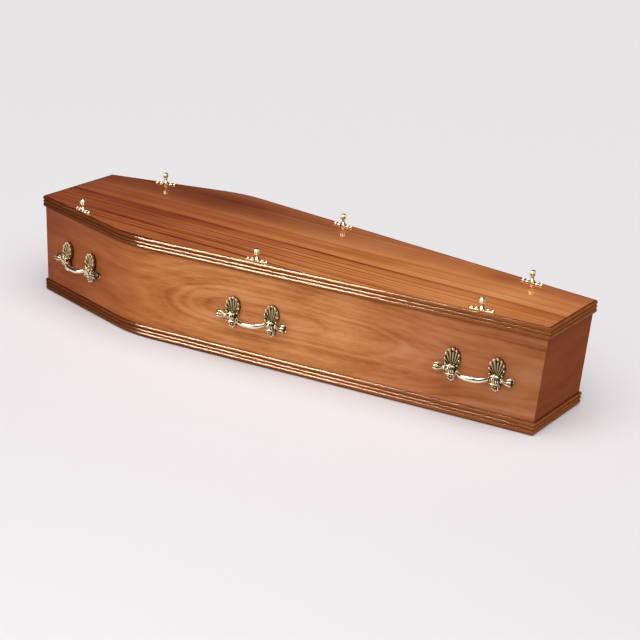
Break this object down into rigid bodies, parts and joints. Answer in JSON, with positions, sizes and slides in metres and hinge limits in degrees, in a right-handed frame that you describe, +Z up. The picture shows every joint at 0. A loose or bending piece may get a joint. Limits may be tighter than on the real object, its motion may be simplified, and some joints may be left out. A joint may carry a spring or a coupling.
{
  "type": "wooden coffin",
  "caption": "Shouldered wooden coffin with a flat lift-off lid, reeded mouldings, bar handles on shell brackets, and thumbscrews on scroll plates along the lid.",
  "frame": {"origin": "on the floor under the middle of the base", "axes": "+X towards the foot end, +Y towards the coffin's left side as it lies, +Z up"},
  "size_m": [1.93, 0.589, 0.3806],
  "materials": {
    "mahogany_veneer": "high-gloss lacquer over flowing red-brown mahogany veneer",
    "mahogany_moulding": "high-gloss lacquer over dark stained mahogany",
    "brass_plate": "polished pale brass plate"
  },
  "bodies": {
    "root": {"base_board": "mahogany_veneer", "head_end_board": "mahogany_veneer", "foot_end_board": "mahogany_veneer", "lid_board": "mahogany_veneer", "side_board_right": "mahogany_veneer", "side_board_left": "mahogany_veneer", "base_moulding_right": "mahogany_moulding", "base_moulding_left": "mahogany_moulding", "base_moulding_head": "mahogany_moulding", "base_moulding_foot": "mahogany_moulding", "lid_moulding_right": "mahogany_moulding", "lid_moulding_left": "mahogany_moulding", "lid_moulding_head": "mahogany_moulding", "lid_moulding_foot": "mahogany_moulding", "handle_bar_right_head": "brass_plate", "handle_bracket_right_head_a": "brass_plate", "handle_bracket_right_head_b": "brass_plate", "lid_plate_right_head": "brass_plate", "lid_screw_right_head": "brass_plate", "handle_bar_right_middle": "brass_plate", "handle_bracket_right_middle_a": "brass_plate", "handle_bracket_right_middle_b": "brass_plate", "lid_plate_right_middle": "brass_plate", "lid_screw_right_middle": "brass_plate", "handle_bar_right_foot": "brass_plate", "handle_bracket_right_foot_a": "brass_plate", "handle_bracket_right_foot_b": "brass_plate", "lid_plate_right_foot": "brass_plate", "lid_screw_right_foot": "brass_plate", "handle_bar_left_head": "brass_plate", "handle_bracket_left_head_a": "brass_plate", "handle_bracket_left_head_b": "brass_plate", "lid_plate_left_head": "brass_plate", "lid_screw_left_head": "brass_plate", "handle_bar_left_middle": "brass_plate", "handle_bracket_left_middle_a": "brass_plate", "handle_bracket_left_middle_b": "brass_plate", "lid_plate_left_middle": "brass_plate", "lid_screw_left_middle": "brass_plate", "handle_bar_left_foot": "brass_plate", "handle_bracket_left_foot_a": "brass_plate", "handle_bracket_left_foot_b": "brass_plate", "lid_plate_left_foot": "brass_plate", "lid_screw_left_foot": "brass_plate"}
  },
  "joints": []
}
